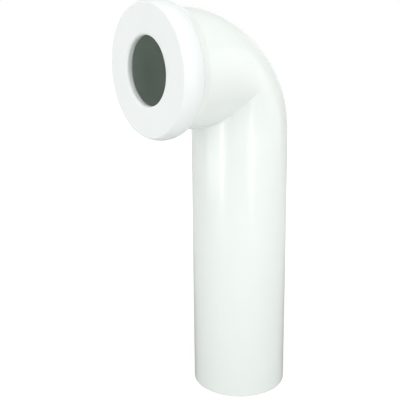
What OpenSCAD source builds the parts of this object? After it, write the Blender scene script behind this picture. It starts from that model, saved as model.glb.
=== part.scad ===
/* [Spigot] */
// Outside diameter of the long plain end that goes into the drain
spigot_d = 100; // [90:1:110]
// Height of the pan outlet's centre line above the open lower end
axis_h = 350; // [280:5:450]
// Thickness of the moulded wall
wall = 3; // [2.4:0.1:3.6]
// Rounding of the edges at the open lower end
end_round = 0.8; // [0.4:0.1:1]

/* [Bend] */
// Outside diameter of the neck where the bend is finished
neck_d = 118; // [110:1:122]
// Radius of the smooth back of the bend
back_r = 130; // [124:1:136]
// Radius that the widest line of the bend follows round the corner
side_r = 66; // [40:1:70]
// Angle round the wall at which the inner crease starts to fade out, from 0 at its middle
fade_from = 35; // [25:1:50]
// Angle at which the crease is gone, past the widest line at 90
fade_to = 105; // [96:1:115]

/* [Socket] */
// Distance from the spigot's centre line to the shoulder behind the seal
shoulder_at = 91.5; // [88:0.5:94]
// Outside diameter of that shoulder
shoulder_d = 127; // [125:0.5:129]
// Outside diameter of the rim that the seal is stretched over
rim_d = 123; // [121:0.5:124]
// Height of the bead that keeps the seal on the rim
bead = 0.8; // [0.4:0.1:1.2]

/* [Seal] */
// Distance from the spigot's centre line to the seal's flat face
face_at = 113; // [111:0.5:116]
// Largest diameter of the seal's skirt
seal_d = 132.4; // [130:0.2:136]
// Distance from the spigot's centre line to where the skirt is widest
belly_at = 101.4; // [100:0.2:103]
// Radius of the skirt's bulge from back to front
belly_r = 22; // [18:1:30]
// Rounding of the seal's front edge
front_round = 1.7; // [1:0.1:2.5]
// Thickness of the flat face
web = 3.5; // [2.5:0.1:4]
// Diameter of the hole that grips the pan outlet
hole_d = 66; // [56:1:76]
// Rounding of the hole's mouth
mouth_round = 2.5; // [2:0.1:3.4]
// Depth of the lip that turns inwards round the hole
lip = 6.5; // [5:0.1:10]
// Thickness of that lip
lip_t = 2.6; // [2:0.1:3]

/* [Hidden] */
$fn = 96;
spigot_r = spigot_d / 2;
neck_r = neck_d / 2;
// The back of the bend is a quarter circle round this line, given as [towards the pan, height]
bend_u = back_r - spigot_r;
bend_z = axis_h + neck_r - back_r;
rim_r = rim_d / 2;
rim_end = face_at - web;
socket_r = rim_r - wall - 0.3;
bead_at = (shoulder_at + rim_end) / 2 + 2;
joint_gap = 0.3;
hole_r = hole_d / 2;
// Middle of the skirt's bulge, and of the rounding where the bulge runs into the flat face
belly_c = seal_d / 2 - belly_r;
edge_at = face_at - front_round;
edge_r = belly_c + sqrt(pow(belly_r - front_round, 2) - pow(edge_at - belly_at, 2));
// The bend's facets: corners round a section, sections up to the crease, past it, and along the neck
corners = 48;
low_steps = 10;
high_steps = 8;
neck_steps = 3;
// The bend's corners stand this far outside the true circles of the pipe and the neck, so that its flats
// clear those circles all the way round
skin_ease = 0.17;

// Each section of the bend lies in a plane through a hinge line below its inner corner. A point in such a
// plane is found by its distance from the hinge, by the plane's angle, and by where the plane starts.
// off moves the whole skin: 0 is the outside of the wall and -wall the inside.
function hinge_u(off) =
    let (r = spigot_r + off, rn = neck_r + off)
    r + (axis_h - rn - bend_z) * r / rn;
function crease_angle(off) = atan((neck_r + off) / (spigot_r + off));

// Distance to the corner's inner line, which the straight pipe and the straight neck share at the crease
function inner_line(off, a, u) =
    let (low = (u - spigot_r - off) / max(cos(a), 1e-9))
    let (high = (axis_h - neck_r - off - bend_z) / max(sin(a), 1e-9))
    a == 90 ? high : min(low, high);

// Distance to the widest line with a square corner, as on a mitre of two straight tubes
function square_line(a, u) =
    a == 90 ? axis_h - bend_z : min(u / cos(a), (axis_h - bend_z) / max(sin(a), 1e-9));

// The same line with its corner rounded by side_r
function round_line(a, u) =
    let (du = u - side_r, dz = bend_z - axis_h + side_r)
    let (b = dz * sin(a) - du * cos(a))
    let (root = b * b - du * du - dz * dz + side_r * side_r)
    let (t = -b + sqrt(max(root, 0)))
    let (on_arc = root > 0 && u - t * cos(a) < side_r && bend_z + t * sin(a) > axis_h - side_r)
    on_arc ? t : square_line(a, u);

// Distance to the smooth back
function back_line(off, a, u) =
    let (du = u - bend_u, b = -du * cos(a))
    -b + sqrt(b * b - du * du + pow(back_r + off, 2));

// Half the bend's width, which grows from the pipe's to the neck's
function half_width(off, a, u) =
    let (out = max(u - round_line(a, u) * cos(a), 0))
    spigot_r + off + (neck_r - spigot_r) * min(out / bend_u, 1);

function ease(x) = x <= 0 ? 0 : x >= 1 ? 1 : x * x * (3 - 2 * x);

// One corner of a section: q goes from 0 at the inner line, by 90 at the widest line, to 180 at the back.
// The mitre of pipe and neck gives way to the rounded line slowly, so that the wall never folds.
function section_point(off, a, u, q) =
    let (k = ease((q - fade_from) / (fade_to - fade_from)))
    let (mid = square_line(a, u) * (1 - k) + round_line(a, u) * k)
    let (reach = q < 90 ? mid - inner_line(off, a, u) : back_line(off, a, u) - mid)
    let (d = mid - reach * cos(q), w = half_width(off, a, u) * sin(q))
    [w, d * cos(a) - u, bend_z + d * sin(a)];

function section(off, a, u) =
    [for (i = [0 : corners - 1])
        let (q = 360 * i / corners, p = section_point(off, a, u, min(q, 360 - q)))
        [q <= 180 ? p[0] : -p[0], p[1], p[2]]];

// All sections of one skin, from the pipe's top, round the hinge, and along the neck
function skin(off) =
    let (c = crease_angle(off), u = hinge_u(off))
    [for (i = [0 : low_steps]) each section(off, c * i / low_steps, u),
     for (i = [1 : high_steps]) each section(off, c + (90 - c) * i / high_steps, u),
     for (i = [1 : neck_steps]) each section(off, 90, u + (bend_u - u) * i / neck_steps)];

// The hollow bend: outer skin, inner skin and a flat ring at each end
module bend_shell() {
    n = corners;
    rows = low_steps + high_steps + neck_steps;
    inner = n * (rows + 1);
    top = n * rows;
    points = concat(skin(skin_ease), skin(skin_ease - wall));
    faces = [for (j = [0 : rows - 1], i = [0 : n - 1])
                let (a = j * n + i, b = j * n + (i + 1) % n)
                each [[a, a + n, b + n, b], [inner + b, inner + b + n, inner + a + n, inner + a]],
             for (i = [0 : n - 1])
                let (k = (i + 1) % n)
                each [[i, k, inner + k, inner + i],
                      [top + k, top + i, inner + top + i, inner + top + k]]];
    polyhedron(points, faces, convexity = 6);
}

// Puts a shape turned about the upright axis on the pan outlet's centre line, pointing to the pan
module on_outlet() {
    translate([0, 0, axis_h]) rotate([90, 0, 0]) children();
}

// The straight spigot with its plain open end
module spigot_tube() {
    rotate_extrude() {
        translate([spigot_r - wall, end_round]) square([wall, bend_z - end_round]);
        translate([spigot_r - wall, 0]) square([wall - end_round, end_round * 2]);
        translate([spigot_r - end_round, end_round]) circle(end_round, $fn = 32);
    }
}

// The flared socket: a cone up to the shoulder, then the rim with its bead
module socket_ring() {
    on_outlet() rotate_extrude() {
        polygon([[neck_r - wall, bend_u], [neck_r, bend_u], [shoulder_d / 2, shoulder_at],
                 [rim_r, shoulder_at], [rim_r, rim_end], [socket_r, rim_end],
                 [socket_r, shoulder_at - 2]]);
        translate([rim_r - bead, bead_at]) circle(2 * bead, $fn = 32);
    }
}

module pipe_body() {
    color("#f4f8f5") {
        spigot_tube();
        bend_shell();
        socket_ring();
    }
}

// Outline of the rounded skirt, with room for the rim and its bead, and of the flat face before it
module skirt_profile() {
    rear = shoulder_at + joint_gap;
    reach = [edge_r - belly_c, edge_at - belly_at] * 2;
    difference() {
        intersection() {
            translate([belly_c, belly_at]) circle(belly_r, $fn = 192);
            polygon([[rim_r, rear], [seal_d / 2 + 2, rear], [edge_r + reach[0], edge_at + reach[1]],
                     [edge_r, edge_at], [edge_r, face_at], [hole_r + mouth_round, face_at],
                     [hole_r + mouth_round, rim_end], [rim_r, rim_end]]);
        }
        translate([rim_r - bead, bead_at]) circle(2 * bead, $fn = 32);
    }
    translate([edge_r, edge_at]) circle(front_round, $fn = 48);
}

// Outline of the rounded mouth and of the lip that turns inwards
module lip_profile() {
    tip = face_at - lip + lip_t / 2;
    translate([hole_r + mouth_round, face_at - mouth_round]) circle(mouth_round, $fn = 48);
    translate([hole_r, tip]) square([lip_t, face_at - mouth_round - tip]);
    translate([hole_r + lip_t / 2, tip]) circle(lip_t / 2, $fn = 48);
}

module pan_seal() {
    color("#eceeec") on_outlet() rotate_extrude() {
        skirt_profile();
        lip_profile();
    }
}

pipe_body();
pan_seal();
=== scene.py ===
import math

import bmesh
import bpy
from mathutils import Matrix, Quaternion, Vector


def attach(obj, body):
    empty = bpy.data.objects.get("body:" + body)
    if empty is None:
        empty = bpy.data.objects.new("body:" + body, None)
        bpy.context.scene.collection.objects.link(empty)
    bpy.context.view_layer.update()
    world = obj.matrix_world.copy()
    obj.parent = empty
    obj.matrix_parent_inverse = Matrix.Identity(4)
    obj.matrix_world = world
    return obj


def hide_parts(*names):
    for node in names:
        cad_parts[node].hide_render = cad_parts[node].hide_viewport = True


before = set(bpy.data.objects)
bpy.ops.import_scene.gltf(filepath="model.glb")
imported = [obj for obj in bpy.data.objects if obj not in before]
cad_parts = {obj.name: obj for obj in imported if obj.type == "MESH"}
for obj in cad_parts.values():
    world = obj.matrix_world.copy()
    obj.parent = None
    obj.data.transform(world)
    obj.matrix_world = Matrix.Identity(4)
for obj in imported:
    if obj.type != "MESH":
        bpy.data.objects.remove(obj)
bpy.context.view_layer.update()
mm = 0.001
mergeDistance = 1e-6           # metres, for the seam that a full turn leaves
print("frame loaded: spigot upright on Z, outlet towards -Y")

# the camera stands off to the right of the outlet and a little above it
cameraValues = {
    "focalPixels": 741.0,      # focal length in pixels of the image
    "imageWidth": 400.0,
    "sensorWidth": 36.0,
    "nearClip": 0.01,
    "farClip": 30.0,
    "distance": 0.790,
    "azimuth": 53.8,
    "elevation": 15.7,
    "roll": -0.70,
    "aimSideways": -0.0418,    # how far the aim lies from the spigot's axis, across the view
    "aimHeight": 0.2066,
}


# azimuth 0 is in front of the outlet, and 90 on its right as the camera sees it
def outwards(azimuth, elevation):
    turn, rise = math.radians(azimuth), math.radians(elevation)
    return Vector((math.sin(turn) * math.cos(rise), -math.cos(turn) * math.cos(rise), math.sin(rise)))


def makeCamera(values):
    data = bpy.data.cameras.new("camera")
    data.sensor_width = values["sensorWidth"]
    data.lens = values["focalPixels"] * values["sensorWidth"] / values["imageWidth"]
    data.clip_start = values["nearClip"]
    data.clip_end = values["farClip"]
    camera = bpy.data.objects.new("camera", data)
    bpy.context.scene.collection.objects.link(camera)
    turn = math.radians(values["azimuth"])
    back = outwards(values["azimuth"], values["elevation"])
    aim = Vector((math.cos(turn), math.sin(turn), 0)) * values["aimSideways"]
    aim.z = values["aimHeight"]
    camera.location = aim + back * values["distance"]
    camera.rotation_mode = "QUATERNION"
    level = (-back).to_track_quat("-Z", "Y")
    camera.rotation_quaternion = level @ Quaternion((0, 0, 1), math.radians(values["roll"]))
    bpy.context.scene.camera = camera


makeCamera(cameraValues)
print("camera set")

# sizes of the moulding in millimetres, with the solids' own main sizes
bodyValues = {
    "spigotRadius": 50.0,
    "neckRadius": 59.0,
    "wall": 3.0,
    "outletHeight": 350.0,
    "backRadius": 130.0,       # of the bend's smooth back
    "sideRadius": 66.0,        # of the bend's widest line
    "fadeFrom": 35.0,          # degrees round the wall where the inner crease starts to fade
    "fadeTo": 105.0,
    "creaseFill": 2.0,         # how softly the pipe and the neck run into each other there
    "shoulderAt": 91.5,
    "shoulderRadius": 63.5,
    "shoulderEdge": ((0.06, 0.15), (0.3, 0.0)),    # (in, back) from the shoulder's corner
    "rimRadius": 61.5,
    "rimEnd": 109.5,
    "rimChamfer": 0.3,
    "socketStep": 0.3,         # how much thicker than the wall the rim is
    "socketRun": 9.5,          # the length over which the bore widens to the socket
    "beadAt": 102.5,
    "bead": 0.8,
    "beadTurns": (-60, -40, -20, 0, 20, 40, 60),
    "endRounding": 0.8,
    "endTurns": (90, 67, 45, 22),
    "flare": ((81.5, 0.35), (83, 0.95), (85, 1.75), (87.5, 2.75), (90, 3.75), (91.0, 4.3)),   # (out, wider)
    "around": 144,
    "pipeRings": 12,
    "lowRings": 20,
    "highRings": 16,
    "neckRings": 5,
    "socketRings": 4,
    "creaseRings": (0.3, 0.6, 1.0, 1.6, 2.4, 3.6),   # degrees on both sides of the crease
    "creaseClear": 1.2,        # the other rings keep this many times the last of those away
}


def softMin(a, b, fill):
    near = max(fill - abs(a - b), 0.0) / fill
    return min(a, b) - near * near * fill / 4


def easeInOut(x):
    x = min(max(x, 0.0), 1.0)
    return x * x * (3 - 2 * x)


# One section of the bend. Its plane goes through a hinge line below the inner corner, at an angle that
# grows from 0 on the pipe to 90 on the neck, and then slides along the neck.
class BendSection:
    def __init__(self, values, inset, angle=0.0, reach=None):
        self.values = values
        self.pipe = values["spigotRadius"] - inset
        self.neck = values["neckRadius"] - inset
        self.height = values["outletHeight"]
        self.bendUp = self.height + values["neckRadius"] - values["backRadius"]
        self.bendOut = values["backRadius"] - values["spigotRadius"]
        self.backRadius = values["backRadius"] - inset
        self.corner = self.height - self.neck
        self.hinge = self.pipe + (self.corner - self.bendUp) * self.pipe / self.neck
        self.out = self.hinge if reach is None else reach
        turn = math.radians(angle)
        self.cos, self.sin = math.cos(turn), math.sin(turn)
        if angle == 90.0:
            self.cos = 0.0
        fill = values["creaseFill"]
        self.inner = self.shorter(self.out - self.pipe, self.corner - self.bendUp, fill)
        self.square = self.shorter(self.out, self.height - self.bendUp, fill)
        self.round = self.roundedWidest()
        off = self.bendOut - self.out
        self.back = -off * self.cos + math.sqrt((off * self.cos) ** 2 - off * off + self.backRadius ** 2)
        reached = max(self.out - self.round * self.cos, 0.0) / self.bendOut
        self.half = self.pipe + (self.neck - self.pipe) * min(reached, 1.0)

    def shorter(self, across, up, fill):
        if self.cos == 0.0:
            return up / self.sin
        if self.sin == 0.0:
            return across / self.cos
        return softMin(across / self.cos, up / self.sin, fill)

    def roundedWidest(self):
        radius = self.values["sideRadius"]
        sideways, up = self.out - radius, self.bendUp - self.height + radius
        b = up * self.sin - sideways * self.cos
        root = b * b - sideways * sideways - up * up + radius * radius
        if root <= 0:
            return self.square
        d = -b + math.sqrt(root)
        onArc = self.out - d * self.cos < radius and self.bendUp + d * self.sin > self.height - radius
        return d if onArc else self.square

    # turn is 0 on the pan's side of the wall and half a circle at the back
    def point(self, turn):
        q = abs(math.degrees(turn))
        start, end = self.values["fadeFrom"], self.values["fadeTo"]
        fade = easeInOut((q - start) / (end - start))
        middle = self.square * (1 - fade) + self.round * fade
        span = middle - self.inner if q < 90 else self.back - middle
        d = middle - span * math.cos(turn)
        side = self.half * math.sin(turn)
        return Vector((side, d * self.cos - self.out, self.bendUp + d * self.sin)) * mm


# A plain round section across the spigot or across the outlet
class RoundSection:
    def __init__(self, radius, up=None, out=None, height=None):
        self.radius, self.up, self.out, self.height = radius, up, out, height

    def point(self, turn):
        across, towards = self.radius * math.sin(turn), self.radius * math.cos(turn)
        if self.out is None:
            return Vector((across, -towards, self.up)) * mm
        return Vector((across, -self.out, self.height - towards)) * mm


def bendSections(values, inset):
    first = BendSection(values, inset)
    crease = math.degrees(math.atan2(first.neck, first.pipe))
    low = [crease * i / values["lowRings"] for i in range(1, values["lowRings"])]
    high = [crease + (90 - crease) * i / values["highRings"] for i in range(1, values["highRings"])]
    close = values["creaseRings"]
    clear = close[-1] * values["creaseClear"]
    angles = [angle for angle in low + high if abs(angle - crease) > clear]
    angles += [crease] + [crease + side * step for step in close for side in (-1, 1)]
    sections = [BendSection(values, inset, angle) for angle in [0.0] + sorted(angles) + [90.0]]
    for i in range(1, values["neckRings"] + 1):
        reach = first.hinge + (first.bendOut - first.hinge) * i / values["neckRings"]
        sections.append(BendSection(values, inset, 90.0, reach))
    return sections


def spigotSections(values, radius):
    top = values["outletHeight"] + values["neckRadius"] - values["backRadius"]
    rings = values["pipeRings"]
    return [RoundSection(radius, up=top * i / rings) for i in range(1, rings)]


def outletSection(values, radius, out):
    return RoundSection(radius, out=out, height=values["outletHeight"])


# up the inside, from the open lower end to the socket's mouth
def insideSections(values):
    wall, end, chamfer = values["wall"], values["rimEnd"], values["rimChamfer"]
    start = values["neckRadius"] - wall
    socket = values["rimRadius"] - wall - values["socketStep"]
    bendOut = values["backRadius"] - values["spigotRadius"]
    sections = spigotSections(values, values["spigotRadius"] - wall) + bendSections(values, wall)
    for i in range(1, values["socketRings"] + 1):
        share = i / values["socketRings"]
        radius = start + (socket - start) * share
        sections.append(outletSection(values, radius, bendOut + values["socketRun"] * share))
    sections.append(outletSection(values, socket, end - chamfer))
    sections.append(outletSection(values, socket + chamfer, end))
    return sections


# up the outside, from the open lower end to the socket's mouth
def outsideSections(values):
    pipe, rim, rounding = values["spigotRadius"], values["rimRadius"], values["endRounding"]
    sections = []
    for turn in map(math.radians, values["endTurns"]):
        radius = pipe - rounding + rounding * math.cos(turn)
        sections.append(RoundSection(radius, up=rounding - rounding * math.sin(turn)))
    sections += [RoundSection(pipe, up=rounding), RoundSection(pipe, up=rounding * 3)]
    sections += spigotSections(values, pipe) + bendSections(values, 0)
    sections += [outletSection(values, values["neckRadius"] + wider, out) for out, wider in values["flare"]]
    shoulder, shoulderAt = values["shoulderRadius"], values["shoulderAt"]
    for cut, back in values["shoulderEdge"]:
        sections.append(outletSection(values, shoulder - cut, shoulderAt - back))
    sections.append(outletSection(values, rim, shoulderAt))
    bead = values["bead"]
    for turn in map(math.radians, values["beadTurns"]):
        radius = rim - bead + 2 * bead * math.cos(turn)
        sections.append(outletSection(values, radius, values["beadAt"] + 2 * bead * math.sin(turn)))
    end, chamfer = values["rimEnd"], values["rimChamfer"]
    return sections + [outletSection(values, rim, end - chamfer), outletSection(values, rim - chamfer, end)]


def startRing(bm, section, around):
    made = bmesh.ops.create_circle(bm, segments=around, radius=1.0, cap_ends=False)
    turnLayer = bm.verts.layers.float["turn"]
    for vert in made["verts"]:
        vert[turnLayer] = math.atan2(vert.co.x, -vert.co.y)
        vert.co = section.point(vert[turnLayer])
    return list({edge for vert in made["verts"] for edge in vert.link_edges})


# each ring is pulled out of the last one and brought into its own section
def growRings(bm, ring, sections):
    turnLayer = bm.verts.layers.float["turn"]
    for section in sections:
        made = bmesh.ops.extrude_edge_only(bm, edges=ring)["geom"]
        for vert in (g for g in made if isinstance(g, bmesh.types.BMVert)):
            vert.co = section.point(vert[turnLayer])
        ring = [g for g in made if isinstance(g, bmesh.types.BMEdge)]
    return ring


def finishPiece(bm, name, materials, node):
    bmesh.ops.remove_doubles(bm, verts=bm.verts, dist=mergeDistance)
    bmesh.ops.recalc_face_normals(bm, faces=bm.faces)
    mesh = bpy.data.meshes.new(name)
    bm.to_mesh(mesh)
    bm.free()
    for polygon in mesh.polygons:
        polygon.use_smooth = True
    piece = bpy.data.objects.new(name, mesh)
    bpy.context.scene.collection.objects.link(piece)
    for material in materials:
        piece.data.materials.append(material)
    even = piece.modifiers.new("evenNormals", "WEIGHTED_NORMAL")
    even.keep_sharp = True
    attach(piece, "root")
    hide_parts(node)


# one skin goes up the inside, over the socket's edge, down the outside and closes on its own start
def makeBody(values, outerMaterial, shadedBoreMaterial):
    bm = bmesh.new()
    bm.verts.layers.float.new("turn")
    start = RoundSection(values["spigotRadius"] - values["wall"], up=0)
    ring = growRings(bm, startRing(bm, start, values["around"]), insideSections(values))
    bore = set(bm.faces)
    growRings(bm, ring, outsideSections(values)[::-1] + [start])
    # the bore's faces take the second material, whose darker colour is painted shade
    for face in bm.faces:
        face.material_index = 1 if face in bore else 0
    finishPiece(bm, "pipeBody", [outerMaterial, shadedBoreMaterial], "pipe_body")


# sizes of the soft seal in millimetres
sealValues = {
    "outletHeight": 350.0,
    "rearAt": 91.8,
    "rearEdge": ((-0.25, 0.0), (0.1, 0.1)),    # (wider, forward) from the shoulder's corner
    "rearSoftness": 0.4,
    "rimRadius": 61.55,
    "shoulderRadius": 63.6,
    "widest": 66.17,
    "bellyAt": 101.4,
    "bellyRadius": 22.0,
    "faceAt": 113.0,
    "faceStops": (0.75, 0.5, 0.25),            # shares of the way from the mouth to the front edge
    "frontRounding": 1.7,
    "web": 3.5,
    "webStop": 10.0,
    "holeRadius": 33.0,
    "mouthRounding": 2.5,
    "lip": 6.5,
    "lipThickness": 2.6,
    "beadAt": 102.5,
    "bead": 0.8,
    "skirtSteps": 20,
    "edgeSteps": 6,
    "mouthSteps": 8,
    "grooveSteps": 6,
    "around": 160,
}


# The half section is drawn with a pen: straight strokes and arcs, each pulled out of the last point.
# A point is (radius, distance towards the pan), and the pen draws it above the outlet's axis.
class Pen:
    def __init__(self, bm, height, start):
        self.bm, self.height = bm, height
        self.first = self.last = bm.verts.new(self.place(start))

    def place(self, point):
        return Vector((0, -point[1], self.height + point[0])) * mm

    def line(self, *points):
        for point in points:
            made = bmesh.ops.extrude_vert_indiv(self.bm, verts=[self.last])
            self.last = made["verts"][0]
            self.last.co = self.place(point)

    def arc(self, centre, degrees, steps):
        made = bmesh.ops.spin(self.bm, geom=[self.last], cent=self.place(centre), axis=(1, 0, 0),
                              dvec=(0, 0, 0), angle=math.radians(degrees), steps=steps)
        self.last = next(g for g in made["geom_last"] if isinstance(g, bmesh.types.BMVert))

    def close(self):
        self.bm.edges.new((self.last, self.first))


def makeSeal(values, material):
    bm = bmesh.new()
    rear, face, shoulder = values["rearAt"], values["faceAt"], values["shoulderRadius"]
    rim, hole, mouth = values["rimRadius"], values["holeRadius"], values["mouthRounding"]
    belly, bellyAt = values["bellyRadius"], values["bellyAt"]
    bellyMiddle = values["widest"] - belly
    edge = values["frontRounding"]
    edgeAt = face - edge
    edgeRadius = bellyMiddle + math.sqrt((belly - edge) ** 2 - (edgeAt - bellyAt) ** 2)
    skirtAt = rear + values["rearSoftness"]
    skirtTurn = math.degrees(math.asin((skirtAt - bellyAt) / belly))
    skirtRadius = bellyMiddle + belly * math.cos(math.radians(skirtTurn))
    edgeTurn = math.degrees(math.atan2(edgeAt - bellyAt, edgeRadius - bellyMiddle))

    # the skirt, from its rear edge over the bulge to the front edge
    pen = Pen(bm, values["outletHeight"], (rim, rear))
    pen.line(*((shoulder + wider, rear + forward) for wider, forward in values["rearEdge"]))
    pen.line((skirtRadius, skirtAt))
    pen.arc((bellyMiddle, bellyAt), edgeTurn - skirtTurn, values["skirtSteps"])
    pen.arc((edgeRadius, edgeAt), 90 - edgeTurn, values["edgeSteps"])

    # the flat face, the mouth and the lip
    pen.line(*((hole + (edgeRadius - hole) * share, face) for share in values["faceStops"]))
    pen.line((hole + mouth, face))
    pen.arc((hole + mouth, face - mouth), 90, values["mouthSteps"])
    thickness = values["lipThickness"]
    tip = face - values["lip"] + thickness / 2
    pen.line((hole, tip))
    pen.arc((hole + thickness / 2, tip), 180, values["mouthSteps"])

    # back along the web, and down the rim past the groove that takes its bead
    bead, beadAt = values["bead"], values["beadAt"]
    webEnd = face - values["web"]
    grooveTurn = math.acos(bead / (2 * bead))
    pen.line((hole + thickness, webEnd), (hole + thickness + values["webStop"], webEnd), (rim, webEnd))
    pen.line((rim, beadAt + 2 * bead * math.sin(grooveTurn)))
    pen.arc((rim - bead, beadAt), -2 * math.degrees(grooveTurn), values["grooveSteps"])
    pen.close()
    bmesh.ops.spin(bm, geom=list(bm.verts) + list(bm.edges), cent=pen.place((0, 0)), axis=(0, -1, 0),
                   dvec=(0, 0, 0), angle=math.tau, steps=values["around"], use_merge=True)
    finishPiece(bm, "panSeal", [material], "pan_seal")


# shader effects that all the moulded surfaces use

def newGroup(name, inputs, outputs):
    group = bpy.data.node_groups.new(name, "ShaderNodeTree")
    for label, kind, value in inputs:
        socket = group.interface.new_socket(name=label, in_out="INPUT", socket_type=kind)
        if value is not None:
            socket.default_value = value
    for label, kind in outputs:
        group.interface.new_socket(name=label, in_out="OUTPUT", socket_type=kind)
    return group, group.nodes.new("NodeGroupInput"), group.nodes.new("NodeGroupOutput")


def addNode(tree, kind, **settings):
    node = tree.nodes.new(kind)
    for key, value in settings.items():
        setattr(node, key, value)
    return node


# a number is set on the socket itself, and anything else is linked to it
def feed(tree, socket, value):
    if isinstance(value, (int, float)):
        socket.default_value = value
    else:
        tree.links.new(value, socket)


def noise(tree, vector, scale, detail, roughness=0.5):
    node = addNode(tree, "ShaderNodeTexNoise")
    tree.links.new(vector, node.inputs["Vector"])
    for label, value in (("Scale", scale), ("Detail", detail), ("Roughness", roughness)):
        feed(tree, node.inputs[label], value)
    return node.outputs["Fac"]


def mathNode(tree, operation, *values):
    node = addNode(tree, "ShaderNodeMath", operation=operation)
    for socket, value in zip(node.inputs, values):
        feed(tree, socket, value)
    return node.outputs["Value"]


def remap(tree, value, fromLow, fromHigh, toLow, toHigh):
    node = addNode(tree, "ShaderNodeMapRange", interpolation_type="SMOOTHSTEP")
    labels = ("Value", "From Min", "From Max", "To Min", "To Max")
    for label, given in zip(labels, (value, fromLow, fromHigh, toLow, toHigh)):
        feed(tree, node.inputs[label], given)
    return node.outputs["Result"]


# how the two effects are drawn
skinPattern = {
    "grainDetail": 2.0,
    "waveDetail": 2.0,
    "waveRoughness": 0.4,
}
rubPattern = {
    "stretch": (1.0, 1.0, 0.12),               # drawn out along the height
    "streakDetail": 4.0,
    "streakRoughness": 0.65,
    "streaks": (0.56, 0.74),                   # noise levels where a streak starts and is full
    "patchScale": 9.0,
    "patchDetail": 2.0,
    "patches": (0.42, 0.66),
}


# the slight unevenness of a moulded surface: long soft waves and a fine grain
def mouldedSkinGroup(pattern):
    group, entry, leave = newGroup(
        "mouldedSkin",
        [("Place", "NodeSocketVector", None), ("Grain Scale", "NodeSocketFloat", 900.0),
         ("Wave Scale", "NodeSocketFloat", 22.0), ("Grain Share", "NodeSocketFloat", 0.5)],
        [("Height", "NodeSocketFloat"), ("Waves", "NodeSocketFloat")])
    place = entry.outputs["Place"]
    grain = noise(group, place, entry.outputs["Grain Scale"], pattern["grainDetail"])
    waves = noise(group, place, entry.outputs["Wave Scale"], pattern["waveDetail"], pattern["waveRoughness"])
    share = mathNode(group, "MULTIPLY", grain, entry.outputs["Grain Share"])
    group.links.new(mathNode(group, "ADD", share, waves), leave.inputs["Height"])
    group.links.new(waves, leave.inputs["Waves"])
    return group


# faint rub marks from the shelf and from handling, denser in patches
def rubMarksGroup(pattern):
    group, entry, leave = newGroup(
        "rubMarks",
        [("Place", "NodeSocketVector", None), ("Mark Scale", "NodeSocketFloat", 60.0),
         ("Amount", "NodeSocketFloat", 0.5)],
        [("Marks", "NodeSocketFloat")])
    place = entry.outputs["Place"]
    stretch = addNode(group, "ShaderNodeMapping")
    stretch.inputs["Scale"].default_value = pattern["stretch"]
    group.links.new(place, stretch.inputs["Vector"])
    streaks = noise(group, stretch.outputs["Vector"], entry.outputs["Mark Scale"],
                    pattern["streakDetail"], pattern["streakRoughness"])
    patches = noise(group, place, pattern["patchScale"], pattern["patchDetail"])
    strong = remap(group, streaks, *pattern["streaks"], 0.0, 1.0)
    where = remap(group, patches, *pattern["patches"], 0.0, 1.0)
    marks = mathNode(group, "MULTIPLY", strong, where)
    group.links.new(mathNode(group, "MULTIPLY", marks, entry.outputs["Amount"]), leave.inputs["Marks"])
    return group


skinGroup = mouldedSkinGroup(skinPattern)
rubGroup = rubMarksGroup(rubPattern)

mouldedValues = {
    "ior": 1.49,
    "bumpDistance": 0.0004,
    "waveRange": (0.3, 0.7),   # of the waves' noise, over which the roughness grows by its spread
    "rubRoughness": 0.05,      # what a full rub mark adds
}
plasticValues = {
    **mouldedValues,
    "colour": (0.822, 0.866, 0.838),
    "shadeColour": (0.806, 0.850, 0.822),
    "roughness": 0.17,
    "roughnessSpread": 0.04,
    "bump": 0.02,
    "grainScale": 900.0,
    "waveScale": 22.0,
    "grainShare": 0.35,
    "rubAmount": 0.5,
}
# the inside has a rougher skin, and its darker, greener colour is painted shade for the dim inside of the
# pipe
shadedBorePlasticValues = {
    **plasticValues,
    "colour": (0.700, 0.772, 0.716),
    "shadeColour": (0.685, 0.757, 0.701),
    "roughness": 0.42,
    "rubAmount": 0.0,
}
sealSkinValues = {
    **mouldedValues,
    "colour": (0.828, 0.862, 0.851),
    "shadeColour": (0.818, 0.852, 0.841),
    "roughness": 0.48,
    "roughnessSpread": 0.10,
    "bump": 0.05,
    "grainScale": 1300.0,
    "waveScale": 30.0,
    "grainShare": 0.6,
    "rubAmount": 0.3,
}


def mouldedMaterial(name, values):
    material = bpy.data.materials.new(name)
    material.use_nodes = True
    tree = material.node_tree
    shader = tree.nodes["Principled BSDF"]
    shader.inputs["IOR"].default_value = values["ior"]
    place = addNode(tree, "ShaderNodeTexCoord").outputs["Object"]
    skin = addNode(tree, "ShaderNodeGroup", node_tree=skinGroup)
    skin.inputs["Grain Scale"].default_value = values["grainScale"]
    skin.inputs["Wave Scale"].default_value = values["waveScale"]
    skin.inputs["Grain Share"].default_value = values["grainShare"]
    rub = addNode(tree, "ShaderNodeGroup", node_tree=rubGroup)
    rub.inputs["Amount"].default_value = values["rubAmount"]
    tree.links.new(place, skin.inputs["Place"])
    tree.links.new(place, rub.inputs["Place"])

    # in a colour mix, inputs 6 and 7 are the two colours and output 2 is the result
    colour = addNode(tree, "ShaderNodeMix", data_type="RGBA")
    colour.inputs[6].default_value = (*values["colour"], 1)
    colour.inputs[7].default_value = (*values["shadeColour"], 1)
    tree.links.new(skin.outputs["Waves"], colour.inputs["Factor"])
    tree.links.new(colour.outputs[2], shader.inputs["Base Color"])

    roughness = values["roughness"]
    uneven = remap(tree, skin.outputs["Waves"], *values["waveRange"],
                   roughness, roughness + values["roughnessSpread"])
    rubbed = mathNode(tree, "MULTIPLY_ADD", rub.outputs["Marks"], values["rubRoughness"], uneven)
    tree.links.new(rubbed, shader.inputs["Roughness"])
    bump = addNode(tree, "ShaderNodeBump")
    bump.inputs["Strength"].default_value = values["bump"]
    bump.inputs["Distance"].default_value = values["bumpDistance"]
    tree.links.new(skin.outputs["Height"], bump.inputs["Height"])
    tree.links.new(bump.outputs["Normal"], shader.inputs["Normal"])
    return material


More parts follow.
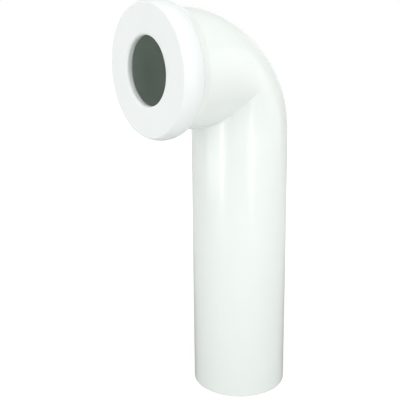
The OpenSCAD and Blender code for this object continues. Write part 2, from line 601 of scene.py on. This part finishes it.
whitePlastic = mouldedMaterial("whitePlastic", plasticValues)
# the bore's material is painted darker than the outside's plastic, as shade inside the pipe
shadedBorePlastic = mouldedMaterial("shadedBorePlastic", shadedBorePlasticValues)
sealRubber = mouldedMaterial("sealRubber", sealSkinValues)
makeBody(bodyValues, whitePlastic, shadedBorePlastic)
makeSeal(sealValues, sealRubber)
print("body and seal made")

# a lamp faces the aim point; it is (azimuth, elevation, distance, width, height, power)
studioValues = {
    "aim": (0.0, -0.02, 0.24),
    "lamps": {
        "topSoft": (53.8, 80.0, 1.30, 1.20, 1.20, 8.75),
        "backSoft": (233.8, 8.0, 1.20, 1.80, 0.90, 2.50),
        "leftFront": (8.8, 8.0, 1.20, 0.90, 0.90, 2.90),
        "leftHigh": (-21.2, 45.0, 1.20, 0.90, 0.90, 1.60),
        "leftBack": (-58.0, 8.0, 1.20, 1.20, 0.90, 2.50),
        "rightFront": (86.0, 12.0, 1.20, 0.90, 0.90, 5.55),
        "rightSide": (138.0, 8.0, 1.20, 1.20, 0.90, 3.20),
        "lowLeft": (-6.2, -12.0, 0.90, 0.80, 0.10, 0.80),
        "leftStrip": (10.8, 0.0, 0.70, 0.09, 0.42, 0.40),
        "rightStrip": (80.3, 0.0, 0.70, 0.09, 0.42, 0.40),
    },
    "worldStrength": 0.30,
    "worldShine": 0.5,         # how far its reflection goes from that strength towards white
    "floorColour": 0.60,
    "floorRoughness": 0.9,
    "floorSize": 12.0,
    "floorGlow": 0.55,         # how bright the floor looks under the object, before any lamp
    "glowFrom": 0.25,          # metres from the spigot's axis where the floor starts to turn white
    "glowTo": 1.1,
    "floorShine": 0.2,         # the glow that the plastic reflects in its place, gone near the spigot
    "floorShade": 0.8,         # share of its colour that the reflected floor loses there
    "shadeFrom": 0.05,         # metres from the spigot's axis where that shade starts to fade
    "shadeTo": 0.65,
}


def makeLamp(name, settings, aim):
    azimuth, elevation, distance, width, height, power = settings
    data = bpy.data.lights.new(name, "AREA")
    data.shape = "RECTANGLE"
    data.size, data.size_y = width, height
    data.energy = power
    lamp = bpy.data.objects.new(name, data)
    bpy.context.scene.collection.objects.link(lamp)
    back = outwards(azimuth, elevation)
    lamp.location = Vector(aim) + back * distance
    lamp.rotation_mode = "QUATERNION"
    lamp.rotation_quaternion = (-back).to_track_quat("-Z", "Y")
    lamp.visible_camera = False


# white where the camera sees it, pale in reflections and softer as a light
def makeWorld(values):
    world = bpy.data.worlds.new("softRoom")
    bpy.context.scene.world = world
    world.use_nodes = True
    tree = world.node_tree
    background = tree.nodes["Background"]
    background.inputs["Color"].default_value = (1, 1, 1, 1)
    path = addNode(tree, "ShaderNodeLightPath")
    mirrored = mathNode(tree, "MAXIMUM", path.outputs["Is Glossy Ray"], path.outputs["Is Transmission Ray"])
    mirrored = mathNode(tree, "MULTIPLY", mirrored, values["worldShine"])
    seen = mathNode(tree, "MAXIMUM", path.outputs["Is Camera Ray"], mirrored)
    base = values["worldStrength"]
    strength = mathNode(tree, "MULTIPLY_ADD", seen, 1 - base, base)
    tree.links.new(strength, background.inputs["Strength"])


# the floor keeps the object's shadow, and glows to white away from it
def makeFloor(values):
    bm = bmesh.new()
    bmesh.ops.create_grid(bm, x_segments=1, y_segments=1, size=values["floorSize"] / 2)
    mesh = bpy.data.meshes.new("floor")
    bm.to_mesh(mesh)
    bm.free()
    floor = bpy.data.objects.new("floor", mesh)
    bpy.context.scene.collection.objects.link(floor)
    material = bpy.data.materials.new("paleFloor")
    material.use_nodes = True
    tree = material.node_tree
    shader = tree.nodes["Principled BSDF"]
    shader.inputs["Roughness"].default_value = values["floorRoughness"]
    shader.inputs["Specular IOR Level"].default_value = 0.0
    tone = values["floorColour"]
    path = addNode(tree, "ShaderNodeLightPath")
    away = addNode(tree, "ShaderNodeVectorMath", operation="LENGTH")
    tree.links.new(addNode(tree, "ShaderNodeTexCoord").outputs["Object"], away.inputs[0])
    near = remap(tree, away.outputs["Value"], values["shadeFrom"], values["shadeTo"], 1.0, 0.0)
    mirrored = path.outputs["Is Glossy Ray"]
    shaded = mathNode(tree, "MULTIPLY", mirrored, near)
    colour = mathNode(tree, "MULTIPLY_ADD", shaded, -tone * values["floorShade"], tone)
    tree.links.new(colour, shader.inputs["Base Color"])
    shine = mathNode(tree, "MULTIPLY", mathNode(tree, "SUBTRACT", mirrored, shaded), values["floorShine"])
    glow = remap(tree, away.outputs["Value"], values["glowFrom"], values["glowTo"], values["floorGlow"], 1.0)
    shader.inputs["Emission Color"].default_value = (1, 1, 1, 1)
    seen = mathNode(tree, "MULTIPLY", path.outputs["Is Camera Ray"], glow)
    tree.links.new(mathNode(tree, "MAXIMUM", seen, shine), shader.inputs["Emission Strength"])
    floor.data.materials.append(material)


makeWorld(studioValues)
makeFloor(studioValues)
for lampName, lampSettings in studioValues["lamps"].items():
    makeLamp(lampName, lampSettings, studioValues["aim"])
bpy.context.scene.view_settings.view_transform = "Standard"
print("studio ready")
